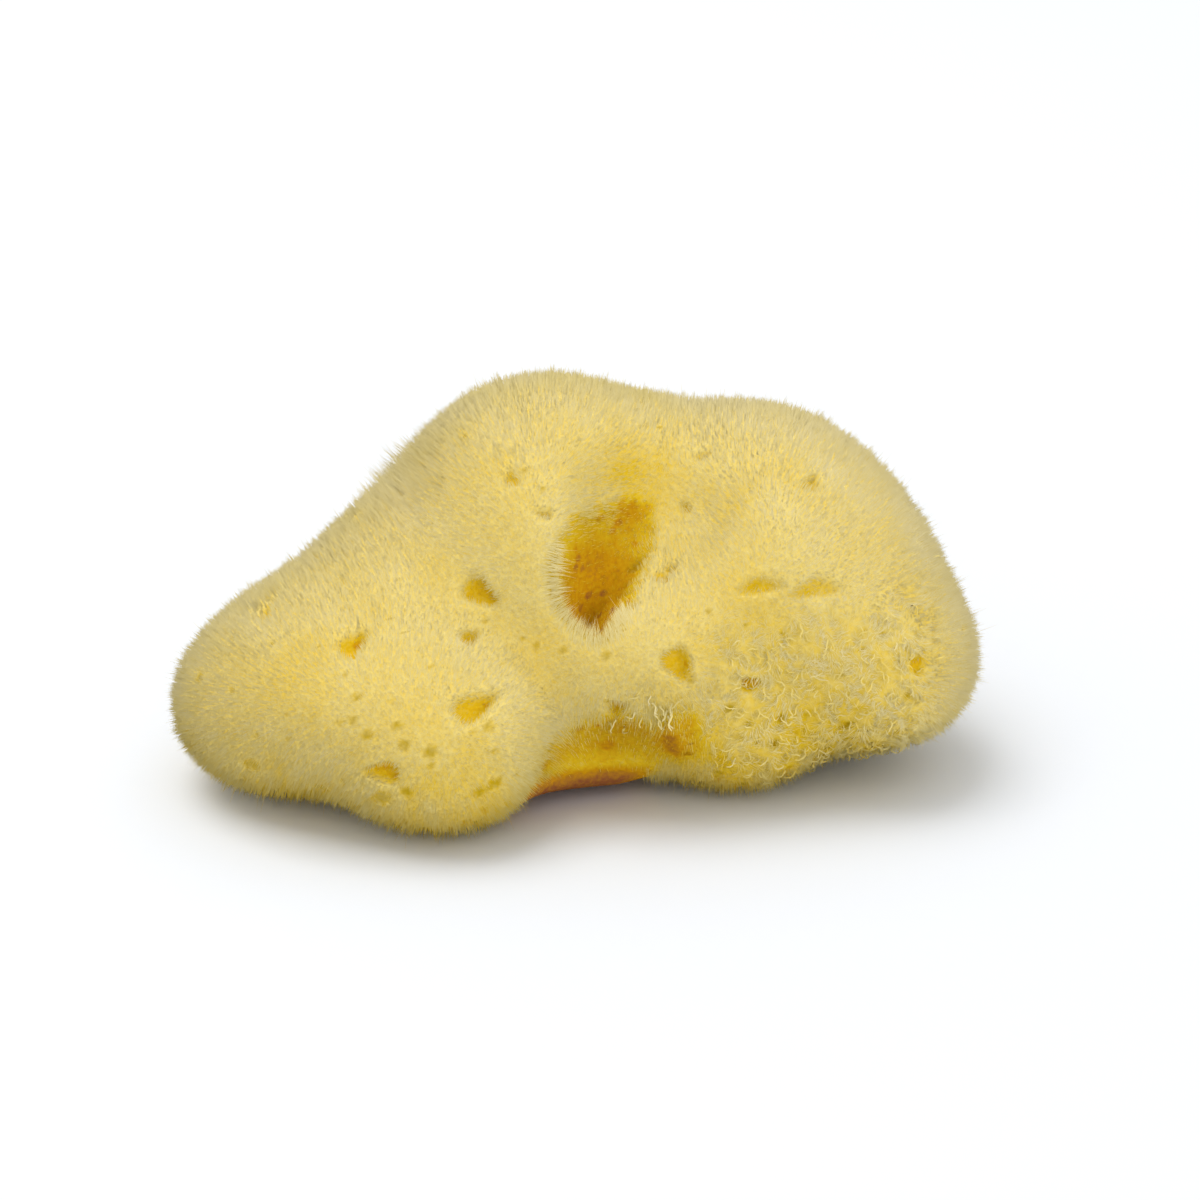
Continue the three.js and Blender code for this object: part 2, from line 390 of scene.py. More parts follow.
def crater_fall(surface):
    """How far the crater falls below each point of the skin, how near the point is to its sharp left rim,
    and how far up it is in the soft upper end, from 0 to 1. With t the distance from the deepest place
    over the rim's there, the fall is depth (1 - t^bowl), rounded off to nothing outside."""
    out, mouth = crater_mouth()
    level, up = tangents(out)
    offset = surface - mouth
    place = np.stack([offset @ level, offset @ up], -1)
    way = place - CRATER_DEEPEST
    gap, rim = np.hypot(*way.T), rim_reach(np.arctan2(way[:, 1], way[:, 0]))
    drop = CRATER_DEPTH * (1 - (gap / rim) ** CRATER_BOWL)
    facing = (surface - CENTRE) @ out > 10
    fall = facing * CRATER_EDGE * np.logaddexp(0, drop / CRATER_EDGE)
    edge = rim - gap
    sharp = between(0.0, -2.0, place @ np.array([0.75, 0.65]))
    fringe = facing * sharp * between(-1.8, -0.3, edge) * between(1.2, 0.2, edge)
    upper = between(1.0, 9.0, place @ np.array([0.6, 0.8]))
    return fall, fringe, upper


def dents(direction, outer):
    """How far the crater and the pits move the skin, how deep in them it is from 0 to 1, how bare of
    fibres, how near the crater's rim, and how far the crater falls. The crater falls along the rays from
    the centre. Its edge is ragged, and its upper end is bare only in streaks. A pit falls along the skin's
    normal at its middle: with q the distance from there in the tangent plane over its half-sizes, made
    uneven by two waves round the middle, it is depth / 2 (1 - tanh((q - 1) / softness)) deep."""
    surface = CENTRE + outer[:, None] * direction
    fall, rim, upper = crater_fall(surface)
    ragged = slow_waves(surface, *RAGGED_WAVES) * between(0.0, 0.4, fall)
    move = -(fall + 0.35 * ragged)[:, None] * direction
    deep = np.sqrt(np.clip((fall + 0.6 * ragged - 0.3) / 5, 0, 1))
    bare = between(0.3, 1.6 + 3.0 * upper, fall + ragged * (1 + upper) + upper * streaks(surface))
    out = bearing(*np.radians(PITS[:, :2]).T)
    mouths = CENTRE + reach(out)[:, None] * out
    normals = slope_of(mouths)
    for number, (mouth, normal, level, up) in enumerate(zip(mouths, normals, *tangents(normals))):
        half_width, half_height, roll, depth = PITS[number, 2:]
        far = 4 * max(half_width, half_height)
        near = np.flatnonzero(np.linalg.norm(surface - mouth, axis=1) < far)
        offset, roll = surface[near] - mouth, np.radians(roll)
        across = (offset @ level * np.cos(roll) + offset @ up * np.sin(roll)) / half_width
        upward = (offset @ up * np.cos(roll) - offset @ level * np.sin(roll)) / half_height
        angle = np.arctan2(upward, across)
        first, second = np.sin(2 * angle + 2.4 * number), np.sin(3 * angle + 1.7 * number)
        uneven = 1 + PIT_WAVES * first + PIT_WAVES * second
        share = 0.5 * (1 - np.tanh((np.hypot(across, upward) * uneven - 1) / PIT_SOFTNESS))
        move[near] -= depth * share[:, None] * normal
        gold = min(1.0, depth / GOLD_DEPTH)
        deep[near] = np.maximum(deep[near], PIT_DEEP * share * gold)
        bare[near] = np.maximum(bare[near], between(0.15, 0.6, share) * gold)
    return move, deep, bare, rim, fall


def slow_waves(points, length, salt):
    """A smooth mottle from about -1 to 1: the mean of a few sine waves of about one wavelength in random
    directions."""
    rng = np.random.default_rng(salt)
    ways = unit(rng.normal(size=(7, 3))) * (2 * np.pi / length) * rng.uniform(0.7, 1.4, (7, 1))
    return np.sin(points @ ways.T + rng.uniform(0, 2 * np.pi, 7)).mean(1) * 1.6


def streaks(points):
    """Upright streaks from about -1 to 1: waves that are short across and long up the sponge."""
    return slow_waves(points * np.array([1, 0.3, 0.3]), *STREAK_WAVES)


def scattered(cells, salt):
    """Three numbers from 0 to 1 for each cell of a grid: the fractions of large sines of its place."""
    ways = np.array([[127.1, 269.5, 419.2], [311.7, 183.3, 371.9], [74.7, 246.1, 124.6]])
    value = np.sin(cells @ ways + salt) * 43758.5453
    return value - np.floor(value)


def nearest_seed(points, cell, salt):
    """For each point, the grid cell of the nearest seed and how far off it is. Every cell of the grid
    holds one seed at a random place in it, so the seeds part the points into rounded patches."""
    home = np.floor(points / cell).astype(int)
    best, owner = np.full(len(points), np.inf), home.copy()
    for step in itertools.product((-1, 0, 1), repeat=3):
        box = home + np.array(step)
        gap = np.linalg.norm(points - (box + scattered(box, salt)) * cell, axis=1)
        closer = gap < best
        best[closer], owner[closer] = gap[closer], box[closer]
    return owner, best


@functools.lru_cache(maxsize=1)
def grow_skin(divisions, bed):
    """The skin's corners, their normals with the pits, without them and for shading, its quads and cell
    areas, the crater's place, and what each corner shows: how deep in a pit it is, how bare, how near the
    crater's sharp rim, how far the crater falls there, how far in the notch, how matted and how rusty. A
    corner lies on its ray from the centre where the distance to the sponge is minus the bed, or less on
    the rusty rim and in the notch, and is moved in by the crater and the pits."""
    direction, quads = cube_sphere(divisions)
    outer = reach(direction)
    surface = CENTRE + outer[:, None] * direction
    window = between(0, RIM_FADE, surface - RIM_LOW) * between(0, RIM_FADE, RIM_HIGH - surface)
    rust = window.prod(1)
    move, deep, bare, rim, fall = dents(direction, outer)
    centre, half, _ = HOLLOWS[0]
    cleft = bell(surface, CLEFT, CLEFT_SPREAD)
    recess = np.maximum(between(3.0, 0.0, ellipsoid_distance(surface, centre, half)), cleft)
    level = -bed * (1 - RIM_RISE * np.maximum(rust, NOTCH_RISE * recess))
    radius = settle(direction, outer - 5 * bed, outer, level)
    deep = np.maximum(deep, RECESS_DEEP * recess)
    points = CENTRE + radius[:, None] * direction + move
    points[:, 2] = np.maximum(points[:, 2], SKIN_FLOOR * (1 - rust) + 0.1 * rust)
    flat = quads.reshape(-1, 4)
    corners = points[flat]
    face_normal = np.cross(corners[:, 2] - corners[:, 0], corners[:, 3] - corners[:, 1]) / 2
    normal = np.stack(
        [np.bincount(flat.ravel(), np.repeat(face_normal[:, k], 4), len(points)) for k in range(3)], -1
    )
    smooth = slope_of(surface)
    smoothing = SKIN_SMOOTHING * (1 + between(0.3, 2.0, fall))
    return SimpleNamespace(
        points=points,
        normal=unit(unit(normal) + FIBRE_SMOOTHING * smooth),
        smooth=smooth,
        shading=unit(unit(normal) + smoothing[:, None] * smooth),
        quads=quads,
        area=np.linalg.norm(face_normal, axis=1).reshape(quads.shape[:3]),
        deep=deep,
        bare=np.maximum(bare, between(0.3, 1.0, recess)),
        rim=rim,
        fall=fall,
        recess=recess,
        mat=mat_of(surface),
        crater=crater_mouth()[1],
        rust=rust,
    )


def mat_of(points):
    """How far the fibres lie down in mats, from 0 to 1: over the front of the right end."""
    x, y, z = points.T
    upright = between(1, 6, z) * between(30, 21, z)
    return between(10, 23, x) * between(47, 40, x) * upright * between(8, -4, y)


def swirl(points, normal):
    """A direction along the skin that wanders from place to place: the level and the upward tangents
    mixed by an angle, which is a slow mottle plus a random turn for each small patch."""
    places, turns = SWIRL_SALTS
    patch, _ = nearest_seed(points, 1.6, places)
    angle = np.pi * (1.6 * slow_waves(points, *SWIRL_WAVES) + 1.6 * scattered(patch, turns)[:, 0])[:, None]
    level, up = tangents(normal)
    return np.cos(angle) * level + np.sin(angle) * up


def mottle_of(points):
    """Slow light and dark of the sponge from about -1 to 1: long waves with shorter ones on them."""
    return 0.55 * slow_waves(points, *LONG_MOTTLE) + 0.45 * slow_waves(points, *SHORT_MOTTLE)


def pore_reach(points):
    """How far each point is from the nearest small pore's middle, over the pore's radius: the scattered
    pores, which are larger low on the front, and those in the table, sunk to the skin."""
    settings = bpy.context.scene.sponge_tufts
    places, sizes = PORE_SALTS
    pore, gap = nearest_seed(points, settings.pore_spacing / MM, places)
    _, y, z = points.T
    size = settings.pore_size / MM * scattered(pore, sizes)[:, 0] ** 1.5
    share = gap / np.maximum(size * (0.45 + 0.6 * between(24, 8, z) * between(4, -8, y)), 1e-3)
    bed = bpy.context.scene.sponge_skin.bed / MM
    middles = PORES[:, :3] - bed * slope_of(PORES[:, :3])
    for middle, radius in zip(middles, PORES[:, 3]):
        share = np.minimum(share, np.linalg.norm(points - middle, axis=1) / radius)
    return share


def in_pore(points):
    """How far inside a small pore each point is, from 0 to 1."""
    return between(1.4, 0.6, pore_reach(points))


def patch_drop(points):
    """How far the golden patches lower the shade, partly the sponge's own mottle and partly painted shade:
    each is a bell round its middle, broken into upright streaks."""
    bells = (drop * bell(points, middle, spread) for middle, spread, drop in PATCHES)
    return np.clip(0.9 + 0.7 * streaks(points), 0, 1.6) * sum(bells)


def patch_share(points):
    """How golden the patches are, from 0 to 1: their drop over the full one."""
    return np.clip(patch_drop(points) / FULL_DROP, 0, 1)


def fibre_shade(points, deep):
    """A fibre's shade: pale straw, paler higher up and to the right, gold in the pits and the patches.
    Darker low down is painted shade near the floor, and the gold in the pits is partly painted shade.
    """
    x, _, z = points.T
    # Painted shade: darker and golder low down near the floor
    shade = FIBRE.shade - FIBRE.low * between(14, 3, z) + FIBRE.right * between(8, 30, x)
    shade += FIBRE.mottle * mottle_of(points)
    return np.clip(shade - FIBRE.patch * patch_drop(points) - FIBRE.pit * deep, 0, 1)


def skin_shade(skin):
    """The skin's shade: straw, darker in the small pores and the mats, gold in the pits, the patches and
    the notch, amber deep in the crater, and rust at the foot of the notch. The darkening in the pores, the
    mats and the notch is painted shade, and the gold and amber of the hollows are partly their own colour
    and partly painted shade."""
    shade = SKIN.shade + SKIN.mottle * mottle_of(skin.points) - SKIN.mat * skin.mat
    shade = shade - SKIN.pore * in_pore(skin.points) - patch_drop(skin.points)
    shade -= SKIN.pit * between(0.05, 0.4, skin.deep) + SKIN.crater * between(0.5, 1.0, skin.deep)
    shade -= skin.recess * (SKIN.notch - SKIN.foot * between(9.0, 4.0, skin.points[:, 2]))
    rust = np.sqrt(skin.rust)
    return np.clip(shade * (1 - rust) + SKIN.rust * rust, 0, 1)


def painted_skin_light(skin):
    """Painted light and shade, as a factor on the skin's colour: painted shade in the small pores, the
    patches, the mats, the notch and the crater's upper end and on the crater's left wall, and painted
    light in the pits and on the crater's right wall."""
    dim = in_pore(skin.points) * (1 - skin.bare)
    crater = between(0.1, 1.0, skin.fall)
    pit = between(0.2, 0.6, skin.deep) * (1 - crater) * (1 - skin.recess)
    across, _, height = skin.points.T
    wall = crater * (PAINTED_LIGHT.wall * between(2.5, 7.0, across) - PAINTED_LIGHT.wall_left)
    top, foot = between(3.5, 9.0, height), between(6.0, 3.0, height)
    notch = skin.recess * (PAINTED_LIGHT.notch + PAINTED_LIGHT.notch_top * top + PAINTED_LIGHT.notch_foot * foot)
    dim += (PAINTED_LIGHT.patch * patch_share(skin.points) + PAINTED_LIGHT.mat * skin.mat) * (1 - skin.bare)
    light = 1 + PAINTED_LIGHT.pit * pit + wall - PAINTED_LIGHT.crater_top * crater * between(7.0, 3.0, skin.fall)
    return light - PAINTED_LIGHT.dim * dim - notch


def scatter_roots(skin, face, weight, per_mm2, rng):
    """Places spread over one side of the skin by area: a cell is drawn with a chance equal to its area
    times the weight of its corners, and the place in it is the mean of its corners by two random shares.
    Returns a function that takes corner values to the places."""
    cells = skin.quads[face].reshape(-1, 4)
    chance = np.cumsum(skin.area[face].ravel() * weight[cells].mean(1))
    count = int(chance[-1] * per_mm2)
    pick = np.searchsorted(chance, (np.arange(count) + rng.random(count)) / count * chance[-1])
    corner = cells[np.minimum(pick, len(cells) - 1)]
    s, t = rng.random((2, count))
    share = np.stack([(1 - s) * (1 - t), s * (1 - t), s * t, (1 - s) * t], -1)
    return lambda values: np.einsum("ij,ij...->i...", share, values[corner])


def spike_faces(rings):
    """Triangles of one spike of so many rings and a point, with each corner's place across and along its
    map."""
    faces, maps = [], []
    last = (rings - 1) * SIDES
    for side in range(SIDES):
        after = (side + 1) % SIDES
        for ring in range(rings - 1):
            low, high = ring * SIDES, (ring + 1) * SIDES
            near, far = ring / rings, (ring + 1) / rings
            faces += [(low + side, low + after, high + after), (low + side, high + after, high + side)]
            maps += [((0.1, near), (0.9, near), (0.9, far)), ((0.1, near), (0.9, far), (0.1, far))]
        faces.append((last + side, last + after, last + SIDES))
        maps.append(((0.1, (rings - 1) / rings), (0.9, (rings - 1) / rings), (0.5, 1.0)))
    faces.append(tuple(reversed(range(SIDES))))
    maps.append(((0.1, 0.0), (0.9, 0.0), (0.5, 0.05)))
    return np.array(faces), np.array(maps)


def spikes(path, radius, turn, up):
    """Three-sided spikes: each path's points but the last carry a ring of that radius, square to the path
    and turned by the given angle, and the last point is the tip. Their normals lean up from the skin, as
    the fibres let light through and take on the skin's shading."""
    count, stations = path.shape[:2]
    ahead = unit(np.gradient(path, axis=1)[:, :-1])
    chord = unit(path[:, -1] - path[:, 0])
    guide = np.where(np.abs(chord[:, 2:]) < 0.8, [[0.0, 0.0, 1.0]], [[1.0, 0.0, 0.0]])[:, None]
    side = unit(np.cross(ahead, np.broadcast_to(guide, ahead.shape)))
    over = np.cross(ahead, side)
    angle = turn[:, None, None] + np.arange(SIDES) * 2 * np.pi / SIDES
    spoke = np.cos(angle)[..., None] * side[:, :, None] + np.sin(angle)[..., None] * over[:, :, None]
    ring = path[:, :-1, None] + radius[..., None, None] * spoke
    corners = np.concatenate([ring.reshape(count, -1, 3), path[:, -1:]], 1)
    corners[..., 2] = np.maximum(corners[..., 2], FLOOR_GAP)
    leaning = unit(spoke.reshape(count, -1, 3) + SKIN_SHADING * up[:, None])
    normals = np.concatenate([leaning, up[:, None]], 1)
    along = np.append(np.repeat(np.arange(stations - 1), SIDES), stations - 1) / (stations - 1)
    return corners, np.broadcast_to(along, corners.shape[:2]), normals


def make_mesh(name, points, faces, values, maps, material, normals=None):
    """A piece of the sponge from its corners in millimetres, its faces, its corner values, its bake map,
    and its normals where they aren't the faces' own."""
    mesh = bpy.data.meshes.new(name)
    mesh.vertices.add(len(points))
    mesh.vertices.foreach_set("co", ((points + SHIFT) * MM).astype(np.float32).ravel())
    mesh.loops.add(faces.size)
    mesh.loops.foreach_set("vertex_index", faces.astype(np.int32).ravel())
    mesh.polygons.add(len(faces))
    mesh.polygons.foreach_set("loop_start", np.arange(0, faces.size, faces.shape[1], dtype=np.int32))
    mesh.polygons.foreach_set("use_smooth", np.ones(len(faces), bool))
    mesh.update(calc_edges=True)
    for key, value in values.items():
        layer = mesh.attributes.new(key, "FLOAT", "POINT")
        layer.data.foreach_set("value", value.astype(np.float32).ravel())
    mesh.uv_layers.new(name=BAKE_MAP).uv.foreach_set("vector", maps.astype(np.float32).ravel())
    if normals is not None:
        mesh.normals_split_custom_set_from_vertices(normals)
    mesh.materials.append(material)
    piece = bpy.data.objects.new(name, mesh)
    bpy.context.scene.collection.objects.link(piece)
    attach(piece, BODY)
    return piece


def make_fibres(name, path, radius, up, shade, rng, material):
    """One piece of many spikes. A spike's shade is rounded to a few steps, and its map lies in that step's
    column, from its root below to its tip above."""
    corners, along, normals = spikes(path, radius, rng.uniform(0, 2 * np.pi, len(path)), up)
    pattern, maps = spike_faces(path.shape[1] - 1)
    step = np.clip((shade * SHADES).astype(int), 0, SHADES - 1)
    faces = pattern[None] + (np.arange(len(path)) * corners.shape[1])[:, None, None]
    place = np.broadcast_to(maps, (len(path), *maps.shape)).copy()
    place[..., 0] = (place[..., 0] + step[:, None, None]) / SHADES
    values = {
        "shade": np.repeat((step + 0.5) / SHADES, corners.shape[1]),
        "along": along,
    }
    return make_mesh(
        name, corners.reshape(-1, 3), faces.reshape(-1, 3), values, place, material, normals.reshape(-1, 3)
    )


def colour_ramp(tree, settings, factor):
    """The ramp of the sponge's colours from rust to cream, read at the given factor."""
    ramp = tree.nodes.new("ShaderNodeValToRGB")
    stops = (
        (0.0, settings.rust), (0.22, settings.amber), (0.42, settings.gold),
        (0.66, settings.straw), (0.86, settings.pale), (1.0, settings.cream),
    )
    while len(ramp.color_ramp.elements) < len(stops):
        ramp.color_ramp.elements.new(1.0)
    for element, (place, colour) in zip(ramp.color_ramp.elements, stops):
        element.position = place
        element.color = (*colour, 1.0)
    tree.links.new(factor, ramp.inputs["Fac"])
    return ramp.outputs["Color"]


def attribute(tree, name):
    """The value of one of the piece's own attributes."""
    node = tree.nodes.new("ShaderNodeAttribute")
    node.attribute_name = name
    return node.outputs["Fac"]


def math_node(tree, operation, first, second):
    """One step of arithmetic on sockets or numbers."""
    node = tree.nodes.new("ShaderNodeMath")
    node.operation = operation
    for socket, value in zip(node.inputs, (first, second)):
        if isinstance(value, bpy.types.NodeSocket):
            tree.links.new(value, socket)
        else:
            socket.default_value = value
    return node.outputs["Value"]


def new_material(name):
    """A material with one principled shader, dry and matt."""
    material = bpy.data.materials.new(name)
    material.use_nodes = True
    shader = material.node_tree.nodes["Principled BSDF"]
    shader.inputs["Roughness"].default_value = 0.85
    shader.inputs["Specular IOR Level"].default_value = 0.2
    return material, material.node_tree, shader


@functools.lru_cache(maxsize=1)
def fibre_material():
    """Fibres: the ramp's colour at the shade, moved towards gold at the root by the root drop, partly the
    fibres' own colour and partly painted shade deep in the fur.
    """
    settings = bpy.context.scene.sponge_colours
    material, tree, shader = new_material("sponge_fibre")
    root = math_node(tree, "SUBTRACT", 1.0, attribute(tree, "along"))
    drop = math_node(tree, "MULTIPLY", root, settings.root_drop)
    shade = math_node(tree, "SUBTRACT", attribute(tree, "shade"), drop)
    tree.links.new(colour_ramp(tree, settings, shade), shader.inputs["Base Color"])
    return material


def skin_material():
    """Skin between the fibres: the ramp's colour at the shade, scaled by the painted light and shade, with
    a fine noise on Object coordinates that also lifts a fibrous grain, and small dark pores of painted
    shade round the seeds of a cell pattern on the walls of the pits."""
    settings = bpy.context.scene.sponge_colours
    material, tree, shader = new_material("sponge_skin")
    shader.inputs["Specular IOR Level"].default_value = 0.05
    place = tree.nodes.new("ShaderNodeTexCoord")
    noise = tree.nodes.new("ShaderNodeTexNoise")
    noise.inputs["Scale"].default_value = 1800.0
    noise.inputs["Detail"].default_value = 4.0
    tree.links.new(place.outputs["Object"], noise.inputs["Vector"])
    mottle = math_node(tree, "MULTIPLY", math_node(tree, "SUBTRACT", noise.outputs["Fac"], 0.5), 0.3)
    # Painted shade: small dark pores from a cell pattern, lowering the shade where the skin is pored
    pores = tree.nodes.new("ShaderNodeTexVoronoi")
    pores.inputs["Scale"].default_value = 420.0
    tree.links.new(place.outputs["Object"], pores.inputs["Vector"])
    pore = tree.nodes.new("ShaderNodeMapRange")
    pore.interpolation_type = "SMOOTHSTEP"
    for socket, value in (("From Min", 0.32), ("From Max", 0.12), ("To Min", 0.0), ("To Max", 0.14)):
        pore.inputs[socket].default_value = value
    tree.links.new(pores.outputs["Distance"], pore.inputs["Value"])
    painted_pore_shade = math_node(tree, "MULTIPLY", pore.outputs["Result"], attribute(tree, "pored"))
    shade = math_node(tree, "SUBTRACT", math_node(tree, "ADD", attribute(tree, "shade"), mottle), painted_pore_shade)
    # The colour scaled by the skin's painted light and shade
    dimmed = tree.nodes.new("ShaderNodeVectorMath")
    dimmed.operation = "SCALE"
    tree.links.new(colour_ramp(tree, settings, shade), dimmed.inputs["Vector"])
    tree.links.new(attribute(tree, "light"), dimmed.inputs["Scale"])
    tree.links.new(dimmed.outputs["Vector"], shader.inputs["Base Color"])
    bump = tree.nodes.new("ShaderNodeBump")
    bump.inputs["Strength"].default_value = 0.6
    bump.inputs["Distance"].default_value = 0.0003
    tree.links.new(noise.outputs["Fac"], bump.inputs["Height"])
    tree.links.new(bump.outputs["Normal"], shader.inputs["Normal"])
    return material


def soft_lamp(name, place, size, power, lit=None):
    """A square lamp at a place in metres, turned to the origin, that lights everything, or only what is
    listed and without light passed on from there."""
    lamp = bpy.data.lights.new(name, "AREA")
    lamp.energy, lamp.size = power, size
    holder = bpy.data.objects.new(name, lamp)
    holder.location = place
    holder.rotation_euler = (-holder.location).to_track_quat("-Z", "Y").to_euler()
    bpy.context.scene.collection.objects.link(holder)
    if lit:
        receivers = bpy.data.collections.new(name + "_receivers")
        for piece in lit:
            receivers.objects.link(piece)
        holder.light_linking.receiver_collection = receivers
        lamp.cycles.max_bounces = 0


def fibre_weight(skin):
    """How thickly fibres stand at each corner of the skin: few in the pits and under the feet, fewer in
    the patches and the gaps of the mats, none on the rusty rim."""
    under = between(2.5, 0.9, skin.points[:, 2]) * between(-0.3, -0.8, skin.normal[:, 2])
    gaps = skin.mat * between(0.1, -0.6, slow_waves(skin.points, *MAT_WAVES))
    open_skin = (1 - THIN.bare * skin.bare * (1 - skin.rim)) * (1 - THIN.gaps * gaps)
    open_skin *= 1 - THIN.patch * patch_share(skin.points)
    return open_skin * (1 - THIN.under * under) * (1 - between(0.05, 0.4, skin.rust))


class SpongeColours(bpy.types.PropertyGroup):
    """Colours of the sponge from its rusty foot to its palest tips."""

    rust: bpy.props.FloatVectorProperty(
        name="Rust", description="The bare rim at the foot of the notch", subtype="COLOR", min=0, max=1,
        default=(0.3, 0.1, 0.03))
    amber: bpy.props.FloatVectorProperty(
        name="Amber", description="Deep in the crater", subtype="COLOR", min=0, max=1,
        default=(0.62, 0.3, 0.003))
    gold: bpy.props.FloatVectorProperty(
        name="Gold", description="The pits and the roots of the fibres", subtype="COLOR", min=0, max=1,
        default=(0.74, 0.49, 0.012))
    straw: bpy.props.FloatVectorProperty(
        name="Straw", description="Most of the fibres", subtype="COLOR", min=0, max=1,
        default=(0.745, 0.6, 0.2))
    pale: bpy.props.FloatVectorProperty(
        name="Pale straw", description="The tips of the fibres", subtype="COLOR", min=0, max=1,
        default=(0.785, 0.67, 0.35))
    cream: bpy.props.FloatVectorProperty(
        name="Cream", description="The palest threads", subtype="COLOR", min=0, max=1,
        default=(0.87, 0.79, 0.52))
    # Partly painted shade: the roots lie deep in the fur, whose fibres throw no shadow of their own
    root_drop: bpy.props.FloatProperty(
        name="Root drop", description="How far along the colours a fibre's root lies below its tip",
        subtype="FACTOR", min=0, max=1, default=0.07)


class SpongeSkin(bpy.types.PropertyGroup):
    """Sizes of the skin that carries the fibres."""

    divisions: bpy.props.IntProperty(
        name="Divisions", description="Cells along each edge of the cube that the skin is drawn on",
        min=20, max=128, default=120)
    bed: bpy.props.FloatProperty(
        name="Bed", description="How far the skin lies inside the fibres' tips", unit="LENGTH",
        min=0.0, max=0.004, default=0.0011)


class SpongeTufts(bpy.types.PropertyGroup):
    """Sizes of the upright fibres and their tufts."""

    per_mm2: bpy.props.FloatProperty(
        name="Fibres per square millimetre", description="How thickly the fibres stand", min=0.1, max=16,
        default=15.0)
    length: bpy.props.FloatProperty(
        name="Length", description="Mean length of a fibre", unit="LENGTH", min=0.0, default=0.00125)
    radius: bpy.props.FloatProperty(
        name="Radius", description="Of a fibre at its root", unit="LENGTH", min=0.0, default=0.000062)
    spacing: bpy.props.FloatProperty(
        name="Tuft spacing", description="From one tuft to the next", unit="LENGTH", min=0.0,
        default=0.0008)
    pore_spacing: bpy.props.FloatProperty(
        name="Pore spacing", description="From one small pore to the next", unit="LENGTH", min=0.0,
        default=0.0024)
    pore_size: bpy.props.FloatProperty(
        name="Pore size", description="Radius of the largest small pores", unit="LENGTH", min=0.0,
        default=0.0009)
    gather: bpy.props.FloatProperty(
        name="Gather", description="How far a tuft's tips come together", subtype="FACTOR", min=0, max=1,
        default=0.35)
    lean: bpy.props.FloatProperty(
        name="Lean", description="How far the tufts lean away from upright", subtype="FACTOR", min=0,
        max=1, default=0.1)
    wisps: bpy.props.FloatProperty(
        name="Wisps", description="Share of the fibres that stand out alone", subtype="FACTOR", min=0,
        max=1, default=0.04)


class SpongeThreads(bpy.types.PropertyGroup):
    """Sizes of the curly threads."""

    per_mm2: bpy.props.FloatProperty(
        name="Threads per square millimetre", description="Where they are thickest", min=0.0, max=4,
        default=1.3)
    length: bpy.props.FloatProperty(
        name="Length", description="Mean length of a thread", unit="LENGTH", min=0.0, default=0.0014)
    radius: bpy.props.FloatProperty(
        name="Radius", description="Of a thread at its root", unit="LENGTH", min=0.0, default=0.000085)
    curl: bpy.props.FloatProperty(
        name="Curl", description="How far a thread turns over its length", subtype="ANGLE", default=1.3)


class SpongeStage(bpy.types.PropertyGroup):
    """The floor, the lights and the camera."""

    floor_size: bpy.props.FloatProperty(
        name="Floor", description="Length of the floor's sides", unit="LENGTH", default=6.0)
    key_power: bpy.props.FloatProperty(
        name="Key", description="Power of the soft lamp above, behind and to the left", unit="POWER",
        default=4.8)
    front_power: bpy.props.FloatProperty(
        name="Front", description="Power of the soft lamp in front, which lights only the sponge",
        unit="POWER", default=11.8)
    back_power: bpy.props.FloatProperty(
        name="Back", description="Power of the soft lamp behind, which lights only the sponge",
        unit="POWER", default=3.8)
    sky: bpy.props.FloatProperty(
        name="Sky", description="Strength of the even white light all round", default=0.76)
    distance: bpy.props.FloatProperty(
        name="Distance", description="From the camera to what it looks at", unit="LENGTH", default=0.48)
    elevation: bpy.props.FloatProperty(
        name="Elevation", description="Of the camera above the floor", subtype="ANGLE",
        default=math.radians(24))
    frame_width: bpy.props.FloatProperty(
        name="Frame", description="Width of the picture where the camera looks", unit="LENGTH",
        default=0.1462)


class SPONGE_OT_skin(bpy.types.Operator):
    """Makes the skin with its crater, pits and notch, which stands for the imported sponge"""

    bl_idname = "sponge.skin"
    bl_label = "Skin"

    def execute(self, context):
        settings = context.scene.sponge_skin
        skin = grow_skin(settings.divisions, settings.bed / MM)
        line = np.arange(settings.divisions) / settings.divisions
        step = 1 / settings.divisions
        across, along = np.meshgrid(line, line, indexing="ij")
        corner = np.array([[0, 0], [step, 0], [step, step], [0, step]])
        cell = np.stack([across, along], -1)[None, :, :, None] + corner
        column = np.array([[number % 3, number // 3] for number in range(6)])[:, None, None, None]
        maps = (column + 0.02 + 0.96 * cell) / np.array([3, 2])
        values = {
            "shade": skin_shade(skin),
            # painted light and shade, a factor on the skin's colour
            "light": painted_skin_light(skin),
            # where the painted dark pores of the material show
            "pored": between(0.1, 0.5, skin.deep) * (1 - skin.recess),
        }
        piece = make_mesh(
            "sponge_skin", skin.points, skin.quads.reshape(-1, 4), values, maps, skin_material(),
            skin.shading,
        )
        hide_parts(NODE)
        return {"FINISHED"}


